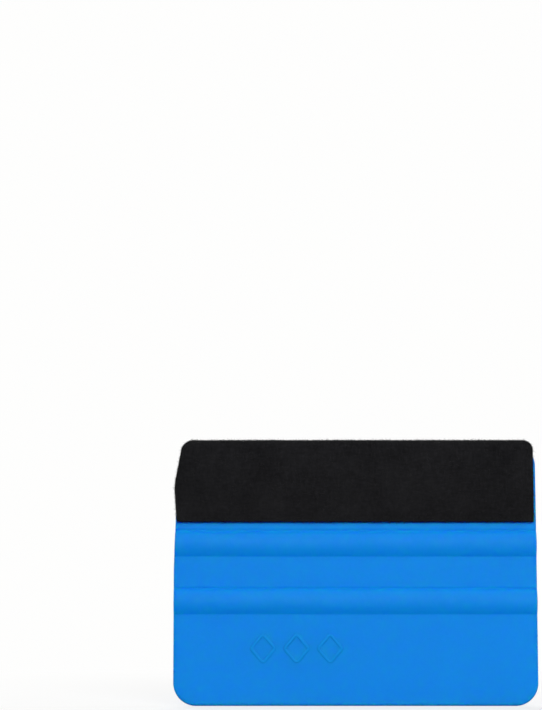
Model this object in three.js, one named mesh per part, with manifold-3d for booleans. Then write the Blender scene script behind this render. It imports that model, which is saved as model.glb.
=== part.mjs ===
// Felt-edged squeegee applicator: a hand card for smoothing sign vinyl.
// Three pieces: the moulded card, an adhesive film, and a felt strip folded over the working edge.
// Millimetres. X runs along the card's width, -Y is the front face, and Z runs up from the
// handle edge, at Z = 0, to the felted working edge. The origin is the middle of the handle edge.

import * as THREE from 'three';
import { mergeVertices } from 'three/addons/utils/BufferGeometryUtils.js';
import Module from 'manifold-3d';

// Card outline
const cardWidth = 100;
const cardHeight = 71.2;
const handleCornerRadius = 6.3;
const bladeCornerRadius = 5.5;

// Card section
const handleThickness = 2.6;
const handleEdgeRound = 0.7;
const tipRadius = 0.7;

// Grip ridges, the same on both faces
const ridgeCount = 2;
const ridgeWidth = 7.0;
const ridgeRise = 0.9;
const ridgePitch = 15.8;
const feltToRidge = 2.3;

// Adhesive film and felt strip, both folded over the working edge
const bondClearance = 0.03;
const filmThickness = 0.12;
const filmSetback = 0.6;
const feltThickness = 1.4;
const feltLeaf = 22.8;
const feltSideInset = 0.6;
const feltCornerRadius = 2.6;

// How finely the round stretches are cut
const arcSegments = 14;

// Layers outward from the card's surface
const filmInner = bondClearance;
const filmOuter = filmInner + filmThickness;
const feltInner = filmOuter + bondClearance;
const feltOuter = feltInner + feltThickness;

// Heights worked out from the sizes above
const tipCentreZ = cardHeight - tipRadius;
const feltTopZ = cardHeight + feltOuter;
const feltLowZ = feltTopZ - feltLeaf;
const filmLowZ = feltLowZ + filmSetback;
const firstRidgeTopZ = feltLowZ - feltToRidge;
const handleHalf = handleThickness / 2;

const wasm = await Module();
wasm.setup();

function toSolid(geometry) {
  const bare = geometry.index ? geometry.toNonIndexed() : geometry.clone();
  bare.deleteAttribute('normal');
  bare.deleteAttribute('uv');
  const merged = mergeVertices(bare, 1e-4);
  return new wasm.Manifold(new wasm.Mesh({
    numProp: 3,
    vertProperties: new Float32Array(merged.attributes.position.array),
    triVerts: new Uint32Array(merged.index.array),
  }));
}

function toGeometry(solid) {
  const mesh = solid.getMesh();
  const geometry = new THREE.BufferGeometry();
  geometry.setAttribute('position', new THREE.BufferAttribute(mesh.vertProperties, 3));
  geometry.setIndex(new THREE.BufferAttribute(mesh.triVerts, 1));
  const flat = geometry.toNonIndexed();
  flat.computeVertexNormals();
  return flat;
}

// A section drawn as (thickness, height), run along X and centred on X = 0.
function sectionBar(shape, width) {
  const geometry = new THREE.ExtrudeGeometry(shape, {
    depth: width, steps: 1, bevelEnabled: false, curveSegments: arcSegments,
  });
  geometry.translate(0, 0, -width / 2);
  geometry.applyMatrix4(new THREE.Matrix4().set(
    0, 0, 1, 0,
    1, 0, 0, 0,
    0, 1, 0, 0,
    0, 0, 0, 1,
  ));
  return toSolid(geometry);
}

// An outline drawn as (width, height), run along Y and centred on Y = 0.
function outlineBlock(shape, depth) {
  const geometry = new THREE.ExtrudeGeometry(shape, {
    depth, steps: 1, bevelEnabled: false, curveSegments: arcSegments,
  });
  geometry.translate(0, 0, -depth / 2);
  geometry.applyMatrix4(new THREE.Matrix4().set(
    1, 0, 0, 0,
    0, 0, -1, 0,
    0, 1, 0, 0,
    0, 0, 0, 1,
  ));
  return toSolid(geometry);
}

// A rectangle centred on x = 0 with one radius at its lower corners and one at its upper corners.
function cornerOutline(width, lowZ, highZ, lowRadius, highRadius) {
  const half = width / 2;
  const shape = new THREE.Shape();
  shape.moveTo(-half + lowRadius, lowZ);
  shape.lineTo(half - lowRadius, lowZ);
  shape.absarc(half - lowRadius, lowZ + lowRadius, lowRadius, -Math.PI / 2, 0, false);
  shape.lineTo(half, highZ - highRadius);
  shape.absarc(half - highRadius, highZ - highRadius, highRadius, 0, Math.PI / 2, false);
  shape.lineTo(-half + highRadius, highZ);
  shape.absarc(-half + highRadius, highZ - highRadius, highRadius, Math.PI / 2, Math.PI, false);
  shape.lineTo(-half, lowZ + lowRadius);
  shape.absarc(-half + lowRadius, lowZ + lowRadius, lowRadius, Math.PI, 1.5 * Math.PI, false);
  return shape;
}

// Lean of the blade's flank from upright, so that it runs from the first ridge into the round tip.
function flankLean() {
  const rise = tipCentreZ - firstRidgeTopZ;
  const reach = Math.hypot(handleHalf, rise);
  return Math.acos(tipRadius / reach) - Math.atan2(rise, handleHalf);
}

const lean = flankLean();

// Half thickness of the blade at a height, with a layer's distance added square to the flank.
function flankHalf(z, distance) {
  return (tipRadius + distance + (tipCentreZ - z) * Math.sin(lean)) / Math.cos(lean);
}

// The ridges' arcs, as [low crease, high crease, arc centre height], the lowest ridge first.
function ridgeSpans() {
  const spans = [];
  for (let i = ridgeCount - 1; i >= 0; i -= 1) {
    const high = firstRidgeTopZ - i * ridgePitch;
    spans.push([high - ridgeWidth, high, high - ridgeWidth / 2]);
  }
  return spans;
}

// One face of the card's section from the handle edge up to the tip arc, on the +thickness side.
function traceFace(shape) {
  const radius = (ridgeWidth * ridgeWidth / 4 + ridgeRise * ridgeRise) / (2 * ridgeRise);
  const centre = handleHalf + ridgeRise - radius;
  const sweep = Math.asin(ridgeWidth / 2 / radius);
  shape.absarc(handleHalf - handleEdgeRound, handleEdgeRound, handleEdgeRound, -Math.PI / 2, 0, false);
  for (const [low, , middle] of ridgeSpans()) {
    shape.lineTo(handleHalf, low);
    shape.absarc(centre, middle, radius, -sweep, sweep, false);
  }
}

// The same face run back down on the -thickness side.
function traceBack(shape) {
  const radius = (ridgeWidth * ridgeWidth / 4 + ridgeRise * ridgeRise) / (2 * ridgeRise);
  const centre = -(handleHalf + ridgeRise - radius);
  const sweep = Math.asin(ridgeWidth / 2 / radius);
  for (const [, high, middle] of ridgeSpans().reverse()) {
    shape.lineTo(-handleHalf, high);
    shape.absarc(centre, middle, radius, Math.PI - sweep, Math.PI + sweep, false);
  }
  shape.lineTo(-handleHalf, handleEdgeRound);
  shape.absarc(-handleHalf + handleEdgeRound, handleEdgeRound, handleEdgeRound,
    Math.PI, 1.5 * Math.PI, false);
}

function cardSection() {
  const shape = new THREE.Shape();
  shape.moveTo(-handleHalf + handleEdgeRound, 0);
  shape.lineTo(handleHalf - handleEdgeRound, 0);
  traceFace(shape);
  shape.absarc(0, tipCentreZ, tipRadius, lean, Math.PI - lean, false);
  traceBack(shape);
  return shape;
}

// A U folded over the blade, between two distances from its surface, open at the low end.
function foldSection(inner, outer, lowZ) {
  const foldRadius = tipRadius + outer;
  const shape = new THREE.Shape();
  shape.moveTo(flankHalf(lowZ, outer), lowZ);
  shape.lineTo(foldRadius * Math.cos(lean), tipCentreZ + foldRadius * Math.sin(lean));
  shape.absarc(0, tipCentreZ, foldRadius, lean, Math.PI - lean, false);
  shape.lineTo(-flankHalf(lowZ, outer), lowZ);
  shape.lineTo(-flankHalf(lowZ, inner), lowZ);
  shape.absarc(0, tipCentreZ, tipRadius + inner, Math.PI - lean, lean, true);
  shape.lineTo(flankHalf(lowZ, inner), lowZ);
  return shape;
}

function named(name, solid, color, roughness) {
  const material = new THREE.MeshStandardMaterial({ color, roughness, metalness: 0 });
  const mesh = new THREE.Mesh(toGeometry(solid), material);
  mesh.name = name;
  return mesh;
}

// The moulded card: one solid section cut to the outline with its four rounded corners.
function cardBody() {
  const bar = sectionBar(cardSection(), cardWidth + 2 * bladeCornerRadius);
  const outline = cornerOutline(cardWidth, 0, cardHeight, handleCornerRadius, bladeCornerRadius);
  const depth = 2 * (handleThickness + 2 * ridgeRise);
  return bar.intersect(outlineBlock(outline, depth));
}

// A folded layer: a U of constant wall, with its two top corners trimmed round.
function foldedLayer(inner, outer, lowZ, width, cornerRadius) {
  const bar = sectionBar(foldSection(inner, outer, lowZ), width + 2 * cornerRadius);
  const topZ = cardHeight + outer;
  const trim = cornerOutline(width, lowZ - cornerRadius, topZ, cornerRadius / 2, cornerRadius);
  return bar.intersect(outlineBlock(trim, 2 * (handleThickness + 2 * outer)));
}

const feltWidth = cardWidth - 2 * feltSideInset;
const filmWidth = feltWidth - 2 * filmSetback;
const felt = foldedLayer(feltInner, feltOuter, feltLowZ, feltWidth, feltCornerRadius);
const film = foldedLayer(filmInner, filmOuter, filmLowZ, filmWidth, feltCornerRadius);

const squeegee = new THREE.Group();
squeegee.add(named('card_body', cardBody(), 0x1687e6, 0.42));
squeegee.add(named('adhesive_film', film, 0xd8d2c0, 0.5));
squeegee.add(named('felt_strip', felt, 0x1b1b1d, 0.95));

export default squeegee;
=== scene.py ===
# %% [markdown]
# # A felt-edged squeegee applicator
# The object is a hand card for smoothing sign vinyl. A blue card is moulded in one piece, with
# rounded grip ridges across both faces. A strip of black felt is folded over its thin working
# edge, and a thin adhesive film holds the felt. The lesson rebuilds each piece around a packed
# frame of plain solids, which fixes the main sizes and places.

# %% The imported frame
import math

import bpy
import numpy as np
from mathutils import Matrix, Vector, noise


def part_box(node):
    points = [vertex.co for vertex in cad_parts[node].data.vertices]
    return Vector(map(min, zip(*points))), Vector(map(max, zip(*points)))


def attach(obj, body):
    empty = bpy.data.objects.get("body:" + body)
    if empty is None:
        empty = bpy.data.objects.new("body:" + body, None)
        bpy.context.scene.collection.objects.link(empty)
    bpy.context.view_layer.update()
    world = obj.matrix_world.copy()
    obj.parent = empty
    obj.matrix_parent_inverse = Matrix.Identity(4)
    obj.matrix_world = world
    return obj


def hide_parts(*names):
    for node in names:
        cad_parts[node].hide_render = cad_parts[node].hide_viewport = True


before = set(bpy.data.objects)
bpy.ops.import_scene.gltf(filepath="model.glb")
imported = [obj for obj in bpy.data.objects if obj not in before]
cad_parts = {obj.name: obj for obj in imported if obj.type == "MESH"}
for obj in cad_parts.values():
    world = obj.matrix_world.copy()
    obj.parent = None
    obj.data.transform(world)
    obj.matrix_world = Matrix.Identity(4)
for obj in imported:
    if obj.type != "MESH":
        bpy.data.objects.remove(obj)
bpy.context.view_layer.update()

# %% [markdown]
# ## Sizes
# The card, film and felt are bonded layers, so their sizes come from one another. The boxes of the
# frame's solids give the overall sizes. The few that a box can't give, such as an edge radius, are
# named here in metres. A millimetre constant keeps the numbers readable.

# %% Sizes of the card and the felt
MM = 0.001

card_low, card_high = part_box("card_body")
felt_low, felt_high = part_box("felt_strip")

card_width = card_high.x - card_low.x
card_height = card_high.z
handle_half = 1.3 * MM
tip_half = 0.7 * MM
edge_round = 0.64 * MM
handle_corner = 6.3 * MM
blade_corner = 5.5 * MM

ridge_count = 2
ridge_width = 7.0 * MM
ridge_rise = card_high.y - handle_half
ridge_pitch = 15.8 * MM
felt_to_ridge = 2.3 * MM
first_ridge_top = felt_low.z - felt_to_ridge
ridge_middles = [first_ridge_top - ridge_width / 2 - i * ridge_pitch for i in range(ridge_count)]

tip_centre = card_height - tip_half
felt_outer = felt_high.z - card_high.z
felt_thickness = 1.4 * MM
felt_inner = felt_outer - felt_thickness

print("card", round(card_width / MM, 2), "x", round(card_height / MM, 2), "mm")
print("ridge middles", [round(z / MM, 2) for z in ridge_middles], "mm")
print("felt stands", round(felt_outer / MM, 2), "mm off the blade")

# %% [markdown]
# ## Writing node trees as sums
# Finishes and Geometry Nodes both need arithmetic. A socket is wrapped so that Python's own
# operators add the Math nodes, and one method makes every other kind of node: its settings are
# set first, then its sockets are filled with values or linked.

# %% A socket that can be added and multiplied
class Wire:
    def __init__(self, graph, socket):
        self.graph, self.socket = graph, socket

    def out(self, name):
        return Wire(self.graph, self.socket.node.outputs[name])

    def math(self, operation, *others, first=None):
        terms = [self if first is None else first, *others]
        return self.graph.node("ShaderNodeMath", {"operation": operation}, dict(enumerate(terms)))

    def __add__(self, other):
        return self.math("ADD", other)

    def __sub__(self, other):
        return self.math("SUBTRACT", other)

    def __mul__(self, other):
        return self.math("MULTIPLY", other)

    def __truediv__(self, other):
        return self.math("DIVIDE", other)

    def __pow__(self, other):
        return self.math("POWER", other)

    def __rsub__(self, other):
        return self.math("SUBTRACT", self, first=other)

    def __neg__(self):
        return self * -1.0

    def __gt__(self, other):
        return self.math("GREATER_THAN", other)

    def above(self, floor):
        return self.math("MAXIMUM", floor)

    def below(self, ceiling):
        return self.math("MINIMUM", ceiling)

    def root(self):
        return self.above(0.0).math("SQRT")

    def size(self):
        return self.math("ABSOLUTE")

    __radd__ = __add__
    __rmul__ = __mul__


# %% A node tree that makes any node in one call
class Graph:
    def __init__(self, tree):
        self.tree = tree

    def node(self, kind, settings=None, inputs=None, output=0):
        made = self.tree.nodes.new(kind)
        for name, value in (settings or {}).items():
            setattr(made, name, value)
        for key, value in (inputs or {}).items():
            self.fill(made.inputs[key], value)
        return Wire(self, made.outputs[output]) if made.outputs else made

    def fill(self, socket, value):
        if isinstance(value, Wire):
            self.tree.links.new(value.socket, socket)
        else:
            socket.default_value = value

    def vector(self, x, y, z):
        return self.node("ShaderNodeCombineXYZ", None, {"X": x, "Y": y, "Z": z})

    def parts(self, vector):
        split = self.node("ShaderNodeSeparateXYZ", None, {"Vector": vector})
        return split, split.out("Y"), split.out("Z")

    def vector_math(self, operation, *terms, output=0):
        return self.node("ShaderNodeVectorMath", {"operation": operation},
                         dict(enumerate(terms)), output)


# %% [markdown]
# ## The camera
# The card is seen square on, from a little left of it and looking slightly up, so it sits low and
# right in the frame and its uprights draw together towards the top. A long lens from half a metre
# gives that mild taper. Nothing is shifted: the camera is placed and turned.

# %% Camera
camera_lens = 100.0
camera_sensor = 36.0
camera_distance = 0.5447
camera_left = 0.0232
camera_pitch = math.radians(6.28)
middle_height = felt_high.z / 2


def place_camera():
    data = bpy.data.cameras.new("camera")
    data.lens = camera_lens
    data.sensor_width = camera_sensor
    data.clip_start, data.clip_end = 0.01, 50.0
    camera = bpy.data.objects.new("camera", data)
    bpy.context.scene.collection.objects.link(camera)
    camera.location = (-camera_left, card_low.y - camera_distance, middle_height)
    camera.rotation_euler = (math.pi / 2 + camera_pitch, 0.0, 0.0)
    bpy.context.scene.camera = camera
    return camera


camera = place_camera()
print("camera at", [round(v, 3) for v in camera.location], "pitched", round(math.degrees(camera_pitch), 2))

# %% [markdown]
# ## Floor, backdrop and light
# A small object on white is shot on a pale sweep. A flat floor that turns into plain white a short
# way out does the same for every viewing angle. It still takes the object's shadow near its foot.
# The backdrop is a dome. Floor and dome are hidden from bounced light, so they look white without
# lighting the object. Four softboxes do that: one above and in front, which models the ridges,
# one behind, and a weak one at each side. A faint sky fills in the rest, and gives no reflections.

# %% Stage materials
def stage_material(name):
    material = bpy.data.materials.new(name)
    material.use_nodes = True
    material.node_tree.nodes.clear()
    return material, Graph(material.node_tree)


glow_white = (1.0, 1.0, 0.995, 1.0)
floor_white = (0.93, 0.93, 0.925, 1.0)
least_glow = 0.72
fade_start = 0.05
fade_width = 0.16


def white_glow(graph):
    return graph.node("ShaderNodeEmission", None,
                      {"Color": glow_white, "Strength": 0.99})


def floor_material():
    """Matt where the object stands, with a share of glow that is whole a short way out."""
    material, graph = stage_material("pale_floor")
    where = graph.node("ShaderNodeTexCoord", output="Object")
    distance = graph.vector_math("LENGTH", where, output="Value")
    outward = ((distance - fade_start) / fade_width).above(0.0).below(1.0)
    fade = outward * (1.0 - least_glow) + least_glow
    matt = graph.node("ShaderNodeBsdfDiffuse", None, {"Color": floor_white})
    mixed = graph.node("ShaderNodeMixShader", None, {0: fade, 1: matt, 2: white_glow(graph)})
    graph.node("ShaderNodeOutputMaterial", None, {"Surface": mixed})
    return material


def backdrop_material():
    material, graph = stage_material("white_backdrop")
    graph.node("ShaderNodeOutputMaterial", None, {"Surface": white_glow(graph)})
    return material


# %% Floor and backdrop dome
def new_object(name, mesh, material=None):
    made = bpy.data.objects.new(name, mesh)
    bpy.context.scene.collection.objects.link(made)
    if material:
        mesh.materials.append(material)
    return made


def disc_mesh(name, radius, sides=96):
    turns = [2 * math.pi * i / sides for i in range(sides)]
    rim = [(radius * math.cos(a), radius * math.sin(a), 0.0) for a in turns]
    mesh = bpy.data.meshes.new(name)
    mesh.from_pydata(rim, [], [tuple(range(sides))])
    return mesh


def dome_mesh(name, radius, rows=12, sides=48):
    """Rings from a little below the floor up to the top."""
    dip = 0.25
    points, faces = [], []
    for j in range(rows + 1):
        lift = -dip + (math.pi / 2 + dip) * j / rows
        for i in range(sides):
            turn = 2 * math.pi * i / sides
            ring = radius * math.cos(lift)
            points.append((ring * math.cos(turn), ring * math.sin(turn), radius * math.sin(lift)))
    for j in range(rows):
        for i in range(sides):
            a, b = j * sides + i, j * sides + (i + 1) % sides
            faces.append((a, a + sides, b + sides, b))
    mesh = bpy.data.meshes.new(name)
    mesh.from_pydata(points, [], faces)
    return mesh


floor = new_object("floor", disc_mesh("floor", 6.0), floor_material())
backdrop = new_object("backdrop", dome_mesh("backdrop", 5.5), backdrop_material())
for flag in ("visible_diffuse", "visible_glossy", "visible_transmission"):
    setattr(backdrop, flag, False)
    setattr(floor, flag, False)
backdrop.visible_shadow = False

# %% Sky and softboxes
def sky(strength):
    world = bpy.data.worlds.new("studio")
    world.use_nodes = True
    background = world.node_tree.nodes["Background"]
    background.inputs["Color"].default_value = (1.0, 1.0, 1.0, 1.0)
    background.inputs["Strength"].default_value = strength
    bpy.context.scene.world = world
    world.cycles_visibility.glossy = False


light_aim = (0.0, 0.0, 0.04)


def softbox(name, place, size, power):
    data = bpy.data.lights.new(name, "AREA")
    data.shape = "RECTANGLE"
    data.size, data.size_y = size
    data.energy = power
    light = bpy.data.objects.new(name, data)
    bpy.context.scene.collection.objects.link(light)
    light.location = place
    light.rotation_euler = (Vector(light_aim) - Vector(place)).to_track_quat("-Z", "Y").to_euler()
    light.visible_camera = False
    return light


sky(0.08)
softbox("front_softbox", (0.12, -1.35, 0.56), (1.3, 0.5), 22.3)
softbox("rear_softbox", (-0.25, 1.30, 0.72), (1.3, 0.5), 20.0)
softbox("left_softbox", (-1.30, 0.25, 0.45), (0.5, 0.8), 5.0)
softbox("right_softbox", (1.30, 0.25, 0.45), (0.5, 0.8), 5.0)
bpy.context.scene.view_settings.view_transform = "Standard"
bpy.context.scene.view_settings.look = "None"
print("stage set: floor, backdrop, sky and four softboxes")

# %% [markdown]
# ## The finish of moulded polypropylene
# The blue is in the plastic, so nothing is painted on. Up close it is satin rather than glossy, as
# from a finely blasted mould. Broad clouds where the melt flowed, hairline scratches, and polish on
# the ridge crests and the arrises are added, as such a card gets them. Each is one layer of noise
# on Object coordinates, at a likely real scale. Light also enters the plastic and comes out tinted
# a little way off, blue furthest, which keeps the undersides of the ridges from going dull.

# %% Shared pieces of a finish
class Finish(Graph):
    """A Principled material for one surface of the object."""
    def __init__(self, name):
        self.material = bpy.data.materials.new(name)
        self.material.use_nodes = True
        super().__init__(self.material.node_tree)
        self.tree.nodes.clear()
        self.where = self.node("ShaderNodeTexCoord", output="Object")

    def turned(self, stretch, turn=(0.0, 0.0, 0.0)):
        return self.node("ShaderNodeMapping", None,
                         {"Vector": self.where, "Rotation": turn, "Scale": stretch})

    def cloud(self, scale, detail=2.0, rough=0.5, where=None):
        return self.node("ShaderNodeTexNoise", None, {
            "Vector": where or self.where, "Scale": scale, "Detail": detail, "Roughness": rough})

    def blend(self, factor, first, second):
        made = self.node("ShaderNodeMix", {"data_type": "RGBA"}, None, 2)
        node = made.socket.node
        for index, value in ((0, factor), (6, first), (7, second)):
            self.fill(node.inputs[index], value)
        return made

    def bump(self, height, distance, under=None):
        inputs = {"Height": height, "Distance": distance, "Strength": 1.0}
        if under:
            inputs["Normal"] = under
        return self.node("ShaderNodeBump", None, inputs)

    def surface(self, **inputs):
        named = {key.replace("_", " "): value for key, value in inputs.items()}
        shader = self.node("ShaderNodeBsdfPrincipled", None, named)
        self.node("ShaderNodeOutputMaterial", None, {"Surface": shader})
        return self.material


def between(wire, low, high):
    """0 below low, 1 above high, straight in between."""
    return ((wire - low) / (high - low)).above(0.0).below(1.0)

# %% Blue satin plastic
flow_blues = (0.0008, 0.260, 0.758, 1), (0.0012, 0.275, 0.782, 1)
dusty_blue = (0.003, 0.292, 0.802, 1)
worn_blue = (0.02, 0.33, 0.85, 1)
scratched_blue = (0.03, 0.37, 0.89, 1)
scatter_reach = (0.05, 0.15, 1.0)
scatter_scale = 3.5 * MM


def card_finish(name, scatter):
    """The plastic lets some light in, mostly blue; scatter says how much of it does so."""
    graph = Finish(name)
    _, y, z = graph.parts(graph.where)
    flow = graph.cloud(30.0, 3.0, 0.55, graph.turned((1.0, 1.0, 0.45)))
    speck = graph.cloud(900.0, 2.0)
    crest = between(y.size(), handle_half + ridge_rise * 0.72, handle_half + ridge_rise)
    rim = graph.node("ShaderNodeAttribute", {"attribute_name": "rim"}, output="Fac")
    arris = between(rim, 0.25, 0.75)
    worn = (crest * 0.5 + arris * 0.6) * between(graph.cloud(220.0, 4.0, 0.6), 0.38, 0.62)
    plain = graph.blend(between(flow, 0.3, 0.7), *flow_blues)
    dusty = graph.blend(between(speck, 0.35, 0.7) * 0.25, plain, dusty_blue)
    colour = graph.blend(worn * 0.26, dusty, worn_blue)
    scratch = scratches(graph)
    colour = graph.blend(scratch * 0.14, colour, scratched_blue)
    roughness = 0.54 + 0.05 * flow + 0.05 * speck - 0.10 * worn - 0.05 * scratch
    blast = graph.cloud(2600.0, 2.0, 0.6)
    ripple = graph.cloud(75.0, 2.0, 0.5)
    grain = graph.bump(blast, 0.006 * MM)
    grain = graph.bump(ripple, 0.045 * MM, grain)
    grain = graph.bump(scratch * -1.0, 0.015 * MM, grain)
    return graph.surface(Base_Color=colour, Roughness=roughness, Normal=grain,
                         Specular_IOR_Level=0.09, IOR=1.49,
                         Subsurface_Weight=scatter, Subsurface_Radius=scatter_reach,
                         Subsurface_Scale=scatter_scale)


def scratches(graph):
    """Hairline marks in two directions: thin lines where a stretched noise crosses its middle."""
    lines = 0.0
    for angle, scale in ((0.5, 42.0), (-0.9, 33.0)):
        stretched = graph.turned((1.0, 1.0, 14.0), (0.0, angle, 0.0))
        field = graph.cloud(scale, 1.0, 0.4, stretched)
        line = 1.0 - ((field - 0.5).size() / 0.006).below(1.0)
        patch = between(graph.cloud(60.0 + scale, 2.0), 0.56, 0.66)
        lines = line * patch + lines
    return lines


# Scatter turned solids thinner than its reach greenish, so the small raised marks have none.
blue_plastic = card_finish("blue_satin_plastic", 0.7)
thin_plastic = card_finish("blue_raised_plastic", 0.0)
print("card finish:", len(blue_plastic.node_tree.nodes), "nodes")

# %% [markdown]
# ## The card's shape as a rule
# The card is one injection moulding of polypropylene. Its shape follows a rule: at each height
# the plastic has one thickness, and all round the outline its arrises are rounded. That suits
# Geometry Nodes better than a model pushed by hand, because every size stays an input. A grid
# is laid out on one face, its border is drawn out ring by ring round the arris to the mould's
# parting line, and the other half is its mirror image, because the back can't be seen and is
# taken to be like the front. Two rules follow what is seen and not the plain solid: a shallow dip
# darkens the crease above each ridge, and the left side draws in towards the blade.

# %% Building a Geometry Nodes tree with named inputs
class GeometryGraph(Graph):
    def __init__(self, name):
        super().__init__(bpy.data.node_groups.new(name, "GeometryNodeTree"))
        for side in ("INPUT", "OUTPUT"):
            self.tree.interface.new_socket("Geometry", in_out=side, socket_type="NodeSocketGeometry")
        self.sockets = {}
        self.group_in = self.tree.nodes.new("NodeGroupInput")
        self.group_out = self.tree.nodes.new("NodeGroupOutput")

    def input(self, name, kind, value=None):
        item = self.tree.interface.new_socket(name, in_out="INPUT", socket_type="NodeSocket" + kind)
        self.sockets[name] = (item.identifier, value)
        return Wire(self, self.group_in.outputs[name])

    def start(self):
        return Wire(self, self.group_in.outputs["Geometry"])

    def finish(self, geometry, material):
        """Every tree ends in plain geometry with one finish, which is an input too."""
        whole = self.node("GeometryNodeRealizeInstances", None, {"Geometry": geometry})
        whole = self.node("GeometryNodeSetShadeSmooth", None, {"Geometry": whole})
        finish = self.input("Finish", "Material", material)
        whole = self.node("GeometryNodeSetMaterial", None, {"Geometry": whole, "Material": finish})
        self.fill(self.group_out.inputs["Geometry"], whole)

    def set_position(self, mesh, place, only=True):
        return self.node("GeometryNodeSetPosition", None,
                         {"Geometry": mesh, "Selection": only, "Position": place})

    def store(self, mesh, name, value, kind="FLOAT"):
        return self.node("GeometryNodeStoreNamedAttribute", {"data_type": kind, "domain": "POINT"},
                         {"Geometry": mesh, "Name": name, "Value": value})

    def recall(self, name, kind="FLOAT"):
        return self.node("GeometryNodeInputNamedAttribute", {"data_type": kind}, {"Name": name})


def run_tree(graph, name, start=None):
    """The tree's result as a plain mesh object, with no modifier left on it."""
    source = start.copy() if start else bpy.data.meshes.new(name + "_seed")
    host = bpy.data.objects.new(name + "_host", source)
    bpy.context.scene.collection.objects.link(host)
    modifier = host.modifiers.new("build", "NODES")
    modifier.node_group = graph.tree
    for identifier, value in graph.sockets.values():
        if value is not None:
            modifier[identifier] = value
    bpy.context.view_layer.update()
    evaluated = host.evaluated_get(bpy.context.evaluated_depsgraph_get())
    mesh = bpy.data.meshes.new_from_object(evaluated)
    mesh.name = name
    for index in reversed(range(len(mesh.materials))):
        if mesh.materials[index] is None:
            mesh.materials.pop(index=index)
    bpy.data.objects.remove(host)
    made = new_object(name, mesh)
    report(made)
    return made


def report(piece):
    triangles = sum(len(p.vertices) - 2 for p in piece.data.polygons)
    print(piece.name, len(piece.data.vertices), "points", triangles, "triangles")

# %% The card's half thickness at each height
def half_thickness(graph, z, size):
    """Flat handle, round ridges with a dip at the upper crease, and a straight taper to the tip."""
    radius = (size["Ridge width"] ** 2 / 4 + size["Ridge rise"] ** 2) / (2 * size["Ridge rise"])
    taper = (z - size["First ridge top"]).above(0.0) / (size["Height"] - size["First ridge top"])
    flat = size["Handle half"] - (size["Handle half"] - size["Tip half"]) * taper
    ridges = 0.0
    for i in range(ridge_count):
        middle = size["First ridge top"] - size["Ridge width"] / 2 - i * size["Ridge pitch"]
        arc = (radius ** 2 - (z - middle) ** 2).root() - (radius - size["Ridge rise"])
        off_crease = (z - middle - size["Ridge width"] / 2).size() / size["Crease half width"]
        dip = (1.0 - off_crease).above(0.0) * size["Crease depth"]
        ridges = arc.math("SMOOTH_MAX", 0.0, size["Crease round"]) - dip + ridges
    return flat + ridges

# %% The face: a grid that fills a rounded outline
corner_share = 0.07


def row_heights(step, height, low_radius, high_radius):
    """Even steps round each corner's arc, and even rows between the two."""
    low_turn = (step / corner_share).below(1.0) * (math.pi / 2)
    high_turn = ((step - (1.0 - corner_share)) / corner_share).above(0.0) * (math.pi / 2)
    between_corners = ((step - corner_share) / (1.0 - 2 * corner_share)).above(0.0).below(1.0)
    middle = (height - low_radius - high_radius) * between_corners
    return low_radius * (1.0 - low_turn.math("COSINE")) + middle + high_radius * high_turn.math("SINE")


def trimmed(z, size):
    """How far the left side draws in towards the blade, slowly and then faster."""
    return (eased_rise(z, size["Trim start"]) * size["Slow trim"]
            + eased_rise(z, size["Trim turn"]) * size["Fast trim"])


def eased_rise(z, start):
    """Height above a start, coming in gently over a couple of millimetres."""
    soft = 2.0 * MM
    return ((z - start).above(0.0) ** 2 + soft ** 2).root() - soft


def face_grid(graph, size):
    """A grid over one face, inset by the arris radius, with its outline's outward direction."""
    grid = graph.node("GeometryNodeMeshGrid", None, {
        "Size X": 2.0, "Size Y": 1.0,
        "Vertices X": size["Columns"], "Vertices Y": size["Rows"]}, output="Mesh")
    across, along, _ = graph.parts(graph.node("GeometryNodeInputPosition"))
    edge = size["Edge round"]
    low_radius, high_radius = size["Handle corner"] - edge, size["Blade corner"] - edge
    z = edge + row_heights(along + 0.5, size["Height"] - edge * 2, low_radius, high_radius)
    low_drop = (edge + low_radius - z).above(0.0)
    high_drop = (z - (size["Height"] - edge - high_radius)).above(0.0)
    low_inset = low_radius - (low_radius ** 2 - low_drop ** 2).root()
    high_inset = high_radius - (high_radius ** 2 - high_drop ** 2).root()
    x = across * (size["Width"] / 2 - edge - low_inset - high_inset)
    x = x + (-across).above(0.0) * trimmed(z, size)
    y = -half_thickness(graph, z, size)
    mesh = graph.set_position(grid, graph.vector(x, y, z))
    return store_outline(graph, mesh, size, low_radius, high_radius)


def store_outline(graph, mesh, size, low_radius, high_radius):
    """Keeps each point's start and the outline's outward direction there, for the border rings."""
    place = graph.node("GeometryNodeInputPosition")
    x, _, z = graph.parts(place)
    upper = z > size["Height"] / 2
    radius = low_radius + (high_radius - low_radius) * upper
    straight = size["Width"] / 2 - size["Edge round"] - radius
    side = (x.size() - straight).above(0.0) * x.math("SIGN")
    low_centre = size["Edge round"] + low_radius
    high_centre = size["Height"] - size["Edge round"] - high_radius
    rise = (z - high_centre).above(0.0) - (low_centre - z).above(0.0)
    outward = graph.vector_math("NORMALIZE", graph.vector(side, 0.0, rise))
    mesh = graph.store(mesh, "foot", place, "FLOAT_VECTOR")
    return graph.store(mesh, "outward", outward, "FLOAT_VECTOR")

# %% The border: rings round the arris and down to the parting line
arris_rings = 7
flash_width = 0.05 * MM
flash_height = 0.03 * MM


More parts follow.
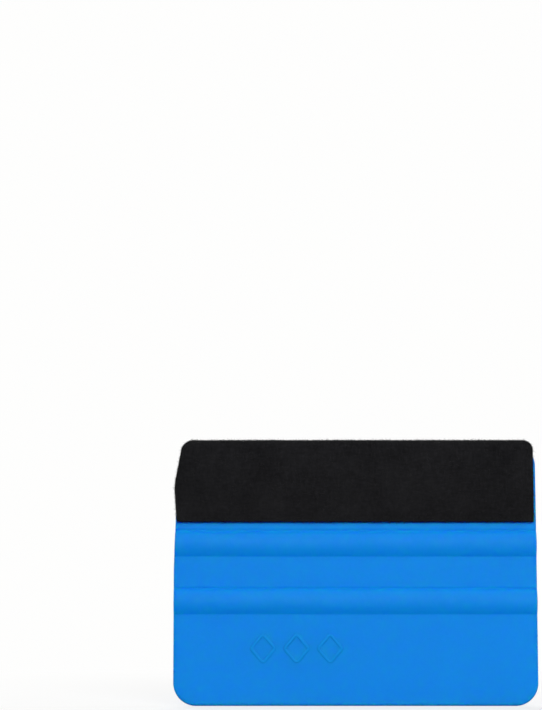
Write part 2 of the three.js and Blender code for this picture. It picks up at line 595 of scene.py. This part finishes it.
def border_rings(graph, mesh, size):
    """Draws the face's border outward over the rounded arris, then in to the middle plane."""
    count = graph.node("GeometryNodeInputMeshEdgeNeighbors")
    last = count.math("COMPARE", 1.0, 0.1)
    foot = graph.recall("foot", "FLOAT_VECTOR")
    outward = graph.recall("outward", "FLOAT_VECTOR")
    foot_x, foot_y, foot_z = graph.parts(foot)
    out_x, _, out_z = graph.parts(outward)
    edge = size["Edge round"]
    wall = edge - size["Flash"]
    rings = []
    for k in range(1, arris_rings + 1):
        turn = k / arris_rings * math.pi / 2
        rings.append((wall * math.sin(turn), foot_y + edge * (1 - math.cos(turn))))
    rings.append((wall, -size["Flash"] * (flash_width / flash_height)))
    rings.append((edge, edge * 0.0))
    for reach, y in rings:
        drawn = graph.node("GeometryNodeExtrudeMesh", {"mode": "EDGES"}, {
            "Mesh": mesh, "Selection": last, "Offset": (0.0, 0.0, 0.0), "Offset Scale": 0.0},
            output="Mesh")
        last = drawn.out("Top")
        place = graph.vector(foot_x + out_x * reach, y, foot_z + out_z * reach)
        mesh = graph.set_position(drawn, place, last)
    return mesh

# %% Both halves, welded at the parting line
card_inputs = {
    "Width": card_width, "Height": card_height, "Handle corner": handle_corner,
    "Blade corner": blade_corner, "Edge round": edge_round, "Handle half": handle_half,
    "Tip half": tip_half, "Ridge width": ridge_width, "Ridge rise": ridge_rise,
    "Ridge pitch": ridge_pitch, "First ridge top": first_ridge_top, "Flash": flash_height,
    "Crease half width": 0.6 * MM, "Crease depth": 0.16 * MM, "Crease round": 0.14 * MM,
    "Trim start": 36.0 * MM, "Trim turn": 56.0 * MM, "Slow trim": 0.036, "Fast trim": 0.10,
}
weld_distance = 0.001 * MM


def card_tree():
    graph = GeometryGraph("moulded_card")
    size = {name: graph.input(name, "Float", value) for name, value in card_inputs.items()}
    size["Columns"] = graph.input("Columns", "Int", 36)
    size["Rows"] = graph.input("Rows", "Int", 620)
    half = border_rings(graph, face_grid(graph, size), size)
    mirrored = graph.node("GeometryNodeTransform", None,
                          {"Geometry": half, "Scale": (1.0, -1.0, 1.0)})
    mirrored = graph.node("GeometryNodeFlipFaces", None, {"Mesh": mirrored})
    both = graph.node("GeometryNodeJoinGeometry")
    for part in (half, mirrored):
        graph.tree.links.new(part.socket, both.socket.node.inputs[0])
    whole = graph.node("GeometryNodeMergeByDistance", None,
                       {"Geometry": both, "Distance": weld_distance})
    _, foot_y, _ = graph.parts(graph.recall("foot", "FLOAT_VECTOR"))
    _, here_y, _ = graph.parts(graph.node("GeometryNodeInputPosition"))
    rim = ((foot_y.size() - here_y.size()) / size["Edge round"]).above(0.0).below(1.0)
    whole = graph.store(whole, "rim", rim)
    for name in ("foot", "outward"):
        whole = graph.node("GeometryNodeRemoveAttribute", None, {"Geometry": whole, "Name": name})
    graph.finish(whole, blue_plastic)
    return graph


card = run_tree(card_tree(), "moulded_card")

# %% [markdown]
# ## Raised marks from the mould
# A plain row of raised lozenge outlines stands low on the front of the handle, in place of the
# maker's code. Two kinds of mark are guesses at what a mould would leave: faint rings on the back
# from the pins that push the warm card out, and the gate's small scar, where the melt came in, on a
# side edge. All of them repeat one small outline along a line, so one tree serves them.

# %% One tree for rows of raised outlines
line_sides = 8
corner_steps = 6
corner_ease = 0.8

# In millimetres, apart from the counts
row_sizes = {
    "raised_mark": {"Wide": 7.6, "Tall": 8.7, "Stroke": 0.9, "Relief": 0.11, "Spacing": 9.2, "Count": 3},
    "pin_rings": {"Wide": 5.0, "Tall": 5.0, "Stroke": 0.36, "Relief": 0.09, "Spacing": 36.0, "Count": 3},
    "gate_scar": {"Wide": 1.0, "Tall": 1.0, "Stroke": 0.45, "Relief": 0.05, "Spacing": 0.0, "Count": 1},
}


def outline_tree(name, corner_count):
    """Outlines with so many corners: four make a lozenge with eased corners, many make a ring."""
    graph = GeometryGraph(name)
    sizes = {key: graph.input(key, "Float", value * MM)
             for key, value in row_sizes[name].items() if key != "Count"}
    count = graph.input("Count", "Int", row_sizes[name]["Count"])
    stroke = sizes["Stroke"]
    outline = graph.node("GeometryNodeCurvePrimitiveCircle", None,
                         {"Resolution": corner_count, "Radius": 0.5})
    outline = graph.node("GeometryNodeTransform", None, {
        "Geometry": outline, "Scale": graph.vector(sizes["Wide"] - stroke, sizes["Tall"] - stroke, 1.0)})
    if corner_count == 4:
        outline = graph.node("GeometryNodeFilletCurve", {"mode": "POLY"},
                             {"Curve": outline, "Count": corner_steps, "Radius": stroke * corner_ease})
    section = graph.node("GeometryNodeCurvePrimitiveCircle", None,
                         {"Resolution": line_sides, "Radius": 1.0})
    section = graph.node("GeometryNodeTransform", None, {
        "Geometry": section, "Scale": graph.vector(stroke / 2, sizes["Relief"], 1.0)})
    line = graph.node("GeometryNodeCurveToMesh", None, {"Curve": outline, "Profile Curve": section})
    offset = graph.vector(sizes["Spacing"], 0.0, 0.0)
    row = graph.node("GeometryNodeMeshLine", None, {"Count": count, "Offset": offset})
    placed = graph.node("GeometryNodeInstanceOnPoints", None, {"Points": row, "Instance": line})
    graph.finish(placed, thin_plastic)
    return graph


def marks(name, corner_count, place, axis):
    """A flat row, turned a quarter about one axis to stand against the card, middle at a place."""
    piece = run_tree(outline_tree(name, corner_count), name)
    points = np.array([vertex.co for vertex in piece.data.vertices])
    middle = Vector((points.min(0) + points.max(0)) / 2)
    turned = Matrix.Rotation(math.pi / 2, 4, axis)
    piece.data.transform(Matrix.Translation(place) @ turned @ Matrix.Translation(-middle))
    return piece


mark = marks("raised_mark", 4, Vector((-16.2 * MM, -handle_half, 15.6 * MM)), "X")
pins = marks("pin_rings", 48, Vector((0.0, handle_half, 12.0 * MM)), "X")
gate = marks("gate_scar", 24, Vector((card_high.x, 0.0, 19.0 * MM)), "Y")

# %% [markdown]
# ## The felt as one folded sheet
# The felt is a strip of needled cloth, folded over the blade and pressed down. Film is taken to hold
# it all over, so it can't sag and isn't simulated: it is laid out along the blade's own section. A
# point on it has a distance along the strip, a place across it and a depth through it. The cut ends
# are rounded over, and the left side runs a little out of true, as a hand cut would.

# %% The strip's path over the blade
blade_rise = tip_centre - first_ridge_top
lean = math.acos(tip_half / math.hypot(handle_half, blade_rise)) - math.atan2(blade_rise, handle_half)
felt_middle = (felt_inner + felt_outer) / 2
fold_half = (tip_half + felt_middle) * (math.pi / 2 - lean)
cut_raise = 0.16 * MM
cut_height = felt_low.z + cut_raise
leaf = (tip_centre + (tip_half + felt_middle) * math.sin(lean) - cut_height) / math.cos(lean)
strip_length = 2 * (fold_half + leaf)
strip_width = felt_high.x - felt_low.x


def over_blade(along, depth):
    """Thickness and height of a point at a distance along the strip and a depth off the blade."""
    radius = tip_half + depth
    turn = np.clip(along, -fold_half, fold_half) / (tip_half + felt_middle)
    down = np.clip(np.abs(along) - fold_half, 0.0, None)
    thick = radius * np.sin(turn) + np.sign(along) * down * math.sin(lean)
    height = tip_centre + radius * np.cos(turn) - down * math.cos(lean)
    return thick, height


print("felt strip", round(strip_width / MM, 1), "x", round(strip_length / MM, 1), "mm flat")

# %% The strip's two sides
fold_corner = 2.6 * MM
right_inset = 0.8 * MM
left_inset = 0.20 * MM
left_bulge_height = 59.7 * MM
left_slants = (0.19, 0.07)


def corner_inset(height):
    """How far the round corner at the fold draws the side in."""
    drop = np.clip(height - (felt_high.z - fold_corner), 0.0, fold_corner)
    return fold_corner - np.sqrt(fold_corner ** 2 - drop ** 2)


def right_side(height):
    return card_high.x - right_inset - corner_inset(height)


def left_side(height):
    """The hand-cut side: it comes out flush part way up and slants in above and below."""
    away = height - left_bulge_height
    slant = np.where(away > 0, left_slants[0], left_slants[1])
    drawn = slant * (np.hypot(away, MM) - MM)
    return card_low.x + left_inset + drawn + corner_inset(height)

# %% Uneven felt surface
broad_patch = 9.0 * MM
fine_patch = 1.9 * MM
press_width = 2.2 * MM
press_depth = 0.22 * MM


def swell(x, y, z):
    """A few hundredths of a millimetre of unevenness, the same on every run."""
    point = Vector((x, y, z))
    broad = noise.noise(point / broad_patch)
    fine = noise.noise(point / fine_patch + Vector((7.0, 3.0, 1.0)))
    return (0.03 + 0.055 * broad + 0.030 * fine) * MM


def pressed(along):
    """The felt is a little thinner along its two cut ends, as if a roller had pressed it down."""
    to_end = (strip_length / 2 - np.abs(along)) / press_width
    return press_depth * np.clip(1.0 - to_end, 0.0, 1.0) ** 2

# %% A layer folded over the blade, as a closed shell
edge_steps = 9
edge_share = 0.24


def unit(vector):
    return vector / max(np.linalg.norm(vector), 1e-12)


class Layer:
    """Grids for its outer and inner face, and loops that close its cut edge with round corners."""
    def __init__(self, name, outer, inner, setback, rows, columns, uneven):
        self.name, self.rows, self.columns = name, rows, columns
        self.setback, self.cut_round = setback, edge_share * (outer - inner)
        half = strip_length / 2 - setback - self.cut_round
        along, across = np.linspace(-half, half, rows), np.linspace(0.0, 1.0, columns)
        s, u = np.meshgrid(along, across, indexing="ij")
        self.outer, self.inner = self.face(s, u, outer), self.face(s, u, inner)
        if uneven:
            away = self.outer - self.inner
            away /= np.linalg.norm(away, axis=-1, keepdims=True)
            x, y, z = np.moveaxis(self.outer, -1, 0)
            lift = np.vectorize(swell)(x, y, z) - pressed(s)
            self.outer += away * lift[..., None]

    def face(self, along, across, depth):
        """Points at one depth: across runs 0 to 1 between the two sides."""
        _, outline = over_blade(along, felt_outer)
        thick, height = over_blade(along, depth)
        inset = self.setback + self.cut_round
        left, right = left_side(outline) + inset, right_side(outline) - inset
        return np.stack([left + (right - left) * across, thick, height], axis=-1)

    def grid_faces(self, start, flipped):
        row, column = np.meshgrid(np.arange(self.rows - 1), np.arange(self.columns - 1), indexing="ij")
        corner = (start + row * self.columns + column).ravel()
        quads = np.stack([corner, corner + 1, corner + self.columns + 1, corner + self.columns], axis=1)
        return (quads[:, ::-1] if flipped else quads).tolist()

    def border(self):
        """The border's points in order, as row and column numbers."""
        bottom, side = self.rows - 1, self.columns - 1
        loop = [(0, j) for j in range(side)] + [(i, side) for i in range(bottom)]
        return loop + [(bottom, j) for j in range(side, 0, -1)] + [(i, 0) for i in range(bottom, 0, -1)]

    def outward(self, loop):
        """The direction that leads out of the layer, at each point of its border."""
        bottom, side = self.rows - 1, self.columns - 1
        directions = []
        for i, j in loop:
            ahead = np.zeros(3)
            if i in (0, bottom):
                ahead += unit(self.outer[i, j] - self.outer[1 if i == 0 else bottom - 1, j])
            if j in (0, side):
                ahead += unit(self.outer[i, j] - self.outer[i, 1 if j == 0 else side - 1])
            directions.append(unit(ahead))
        return np.array(directions)

    def edge_loops(self, loop):
        """Points round the cut edge, between the outer layer's border and the inner one's."""
        top = np.array([self.outer[place] for place in loop])
        low = np.array([self.inner[place] for place in loop])
        outward = self.outward(loop)
        loops = []
        for k in range(1, edge_steps):
            turn = math.pi * k / edge_steps
            sunk = (1 - math.cos(turn)) / 2
            loops.append(top + (low - top) * sunk + outward * self.cut_round * math.sin(turn) ** 0.5)
        return np.concatenate(loops)

    def edge_faces(self, loop):
        total, size = self.rows * self.columns, len(loop)
        first = [i * self.columns + j for i, j in loop]
        chains = [first]
        chains += [[2 * total + k * size + n for n in range(size)] for k in range(edge_steps - 1)]
        chains.append([total + n for n in first])
        faces = []
        for upper, lower in zip(chains, chains[1:]):
            for n in range(size):
                m = (n + 1) % size
                faces.append((upper[n], lower[n], lower[m], upper[m]))
        return faces

    def mesh(self):
        loop = self.border()
        points = [self.outer.reshape(-1, 3), self.inner.reshape(-1, 3), self.edge_loops(loop)]
        faces = self.grid_faces(0, False) + self.grid_faces(self.rows * self.columns, True)
        made = bpy.data.meshes.new(self.name)
        made.from_pydata(np.concatenate(points).tolist(), [], faces + self.edge_faces(loop))
        made.polygons.foreach_set("use_smooth", [True] * len(made.polygons))
        return made

# %% Where the felt grows fibres
fold_fray = 0.9 * MM


def mark_fibres(mesh, layer):
    """Face attributes for the fibres: the open face is outside, fold and cut edges fray."""
    face_count = (layer.rows - 1) * (layer.columns - 1)
    number = np.arange(len(mesh.polygons))
    row, column = number // (layer.columns - 1), number % (layer.columns - 1)
    height = np.array([face.center.z for face in mesh.polygons])
    near_fold = height > felt_high.z - fold_fray
    near_side = (column < 2) | (column > layer.columns - 4)
    near_end = (row < 2) | (row > layer.rows - 4)
    edge = number >= 2 * face_count
    open_face = number < face_count
    values = {"outside": open_face | edge,
              "fray": edge | (open_face & (near_fold | near_side | near_end))}
    for name, chosen in values.items():
        attribute = mesh.attributes.new(name, "FLOAT", "FACE")
        attribute.data.foreach_set("value", chosen.astype(np.float32))

# %% Black needled felt
deep_black, soft_black = (0.0035, 0.0035, 0.0042, 1), (0.0120, 0.0120, 0.0136, 1)
dust_grey = (0.022, 0.022, 0.024, 1)


def felt_finish():
    graph = Finish("black_needled_felt")
    clump = graph.cloud(420.0, 3.0, 0.6)
    matted = graph.cloud(90.0, 3.0, 0.55)
    strand = graph.cloud(1500.0, 3.0, 0.65, graph.turned((1.0, 1.0, 0.35), (0.0, 0.7, 0.0)))
    other = graph.cloud(1500.0, 3.0, 0.65, graph.turned((0.35, 1.0, 1.0), (0.0, 0.4, 0.0)))
    fibre = (strand * other) * 4.0
    weft = between(fibre, 0.4, 1.6) * 0.7 + between(matted, 0.35, 0.65) * 0.3
    colour = graph.blend(weft, deep_black, soft_black)
    dust = between(clump, 0.5, 0.8) * between(matted, 0.45, 0.65)
    colour = graph.blend(dust * 0.3, colour, dust_grey)
    shape = graph.bump(matted, 0.06 * MM)
    shape = graph.bump(clump, 0.05 * MM, shape)
    shape = graph.bump(fibre, 0.04 * MM, shape)
    return graph.surface(Base_Color=colour, Roughness=0.90 + 0.1 * clump, Normal=shape,
                         Specular_IOR_Level=0.12, Sheen_Weight=0.05, Sheen_Roughness=0.5)


black_felt = felt_finish()
felt_layer = Layer("felt_sheet", felt_outer, felt_inner, setback=0.0,
                   rows=104, columns=190, uneven=True)
felt = new_object("felt_sheet", felt_layer.mesh(), black_felt)
mark_fibres(felt.data, felt_layer)
report(felt)

# %% [markdown]
# ## The nap
# Needled felt is a mat of loose fibres. From a hand's distance they show as a fine grain, and they
# fray where the cloth is folded or cut, which softens the outline. So short bent fibres are
# scattered over the sheet from a fixed seed: lying down in the open, standing up at fold and cuts.

# %% Loose fibre finish: mostly black, here and there a pale speck of lint
fibre_blacks = (0.005, 0.005, 0.0055, 1), (0.022, 0.022, 0.022, 1)
lint_grey = (0.35, 0.34, 0.32, 1)
lint_above = 0.9994


def fibre_finish():
    graph = Finish("loose_fibres")
    tone = graph.node("ShaderNodeAttribute", {"attribute_name": "tone"}, output="Fac")
    patch = graph.cloud(300.0, 2.0)
    black = graph.blend(tone * 0.6 + patch * 0.4, *fibre_blacks)
    colour = graph.blend(tone > lint_above, black, lint_grey)
    return graph.surface(Base_Color=colour, Roughness=0.75 + 0.2 * patch,
                         Specular_IOR_Level=0.2, Sheen_Weight=0.05)


loose_fibres = fibre_finish()

# %% One bent fibre, and fibres over the felt
fibre_joints = 4
fibre_sides = 3


def bent_fibre(graph, length, radius, bend):
    """A thin capped tube that leans further aside the higher it gets."""
    tip = graph.vector(0.0, 0.0, length)
    line = graph.node("GeometryNodeCurvePrimitiveLine", None, {"End": tip})
    line = graph.node("GeometryNodeResampleCurve", None, {"Curve": line, "Count": fibre_joints})
    _, _, up = graph.parts(graph.node("GeometryNodeInputPosition"))
    aside = up * up / length * bend
    line = graph.set_position(line, graph.vector(aside, 0.0, up))
    section = graph.node("GeometryNodeCurvePrimitiveCircle", None,
                         {"Resolution": fibre_sides, "Radius": radius})
    return graph.node("GeometryNodeCurveToMesh", None,
                      {"Curve": line, "Profile Curve": section, "Fill Caps": True})


def random_between(graph, low, high, seed):
    return graph.node("FunctionNodeRandomValue", {"data_type": "FLOAT"},
                      {2: low, 3: high, "Seed": seed}, 1)


lying = {"Length": 0.95 * MM, "Radius": 0.017 * MM, "Bend": 0.45,
         "Least lean": 1.05, "Most lean": 1.5, "Depth": 0.05 * MM}
standing = {**lying, "Length": 0.5 * MM, "Least lean": 0.3, "Most lean": 1.4}


def nap_tree(name, attribute, fibre_sizes, density, seed):
    """Fibres where the named attribute is above a half, at so many per square metre."""
    graph = GeometryGraph(name)
    size = {key: graph.input(key, "Float", value) for key, value in fibre_sizes.items()}
    amount = graph.input("Density", "Float", density)
    start = graph.input("Seed", "Int", seed)
    where = graph.recall(attribute) > 0.5
    scatter = graph.node("GeometryNodeDistributePointsOnFaces", {"distribute_method": "RANDOM"}, {
        "Mesh": graph.start(), "Selection": where, "Density": amount, "Seed": start})
    normal = scatter.out("Normal")
    sink = graph.vector_math("SCALE", normal)
    graph.fill(sink.socket.node.inputs["Scale"], -size["Depth"])
    points = graph.node("GeometryNodeSetPosition", None, {"Geometry": scatter, "Offset": sink})
    upright = graph.node("FunctionNodeAlignRotationToVector", {"axis": "Z"}, {"Vector": normal})
    lean = random_between(graph, size["Least lean"], size["Most lean"], 11)
    spin = random_between(graph, 0.0, 2 * math.pi, 12)
    tilt = graph.node("FunctionNodeEulerToRotation", None, {0: graph.vector(0.0, lean, spin)})
    turned = graph.node("FunctionNodeRotateRotation", {"rotation_space": "LOCAL"},
                        {"Rotation": upright, "Rotate By": tilt})
    stretch = random_between(graph, 0.55, 1.45, 13)
    fibre = bent_fibre(graph, size["Length"], size["Radius"], size["Bend"])
    placed = graph.node("GeometryNodeInstanceOnPoints", None, {
        "Points": points, "Instance": fibre, "Rotation": turned,
        "Scale": graph.vector(1.0, 1.0, stretch)})
    tone = random_between(graph, 0.0, 1.0, 14)
    toned = graph.node("GeometryNodeStoreNamedAttribute", {"data_type": "FLOAT", "domain": "INSTANCE"},
                       {"Geometry": placed, "Name": "tone", "Value": tone})
    graph.finish(toned, loose_fibres)
    return graph


nap_rule = nap_tree("felt_nap", "outside", lying, density=1.9e6, seed=4)
nap = run_tree(nap_rule, "felt_nap", felt.data)
fray_rule = nap_tree("felt_fray", "fray", standing, density=7.5e6, seed=9)
fray = run_tree(fray_rule, "felt_fray", felt.data)

# %% [markdown]
# ## The adhesive film
# What holds the felt is hidden. Double-sided film is the likely answer, an acrylic glue on both
# faces of a thin carrier, because no stitch or rivet shows. It follows the felt's path and sides,
# a little smaller all round. It is seen only from the side, where the felt overhangs the card.

# %% Adhesive film
gum_tones = (0.42, 0.38, 0.29, 1), (0.55, 0.51, 0.42, 1)
stray_lint = (0.03, 0.03, 0.03, 1)


def film_finish():
    graph = Finish("acrylic_adhesive")
    gum = graph.cloud(500.0, 3.0)
    lint = graph.cloud(1400.0, 2.0)
    clear = graph.blend(gum, *gum_tones)
    colour = graph.blend(between(lint, 0.55, 0.75) * 0.8, clear, stray_lint)
    tack = graph.bump(gum, 0.03 * MM)
    return graph.surface(Base_Color=colour, Roughness=0.25 + 0.3 * gum, Normal=tack,
                         Specular_IOR_Level=0.5)


film_setback = 0.6 * MM
film_clear = 0.03 * MM
film_layer = Layer("adhesive_layer", felt_inner - film_clear, film_clear, film_setback,
                   rows=90, columns=60, uneven=False)
film = new_object("adhesive_layer", film_layer.mesh(), film_finish())
report(film)

# %% [markdown]
# ## Riding on the frame
# Each finished piece rides on the one body of the frame, and the plain solids of the card,
# felt and film, which the new pieces stand for, are hidden.

# %% Riding and replacing
stand_ins = ((card, "card_body", "card_plastic"), (felt, "felt_strip", "felt"),
             (film, "adhesive_film", "adhesive"))
for piece, node, slot_name in stand_ins:
    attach(piece, "root")
    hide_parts(node)
for piece, slot_name in ((mark, "card_plastic"), (pins, "card_plastic"), (gate, "card_plastic"),
                         (nap, "felt"), (fray, "felt")):
    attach(piece, "root")
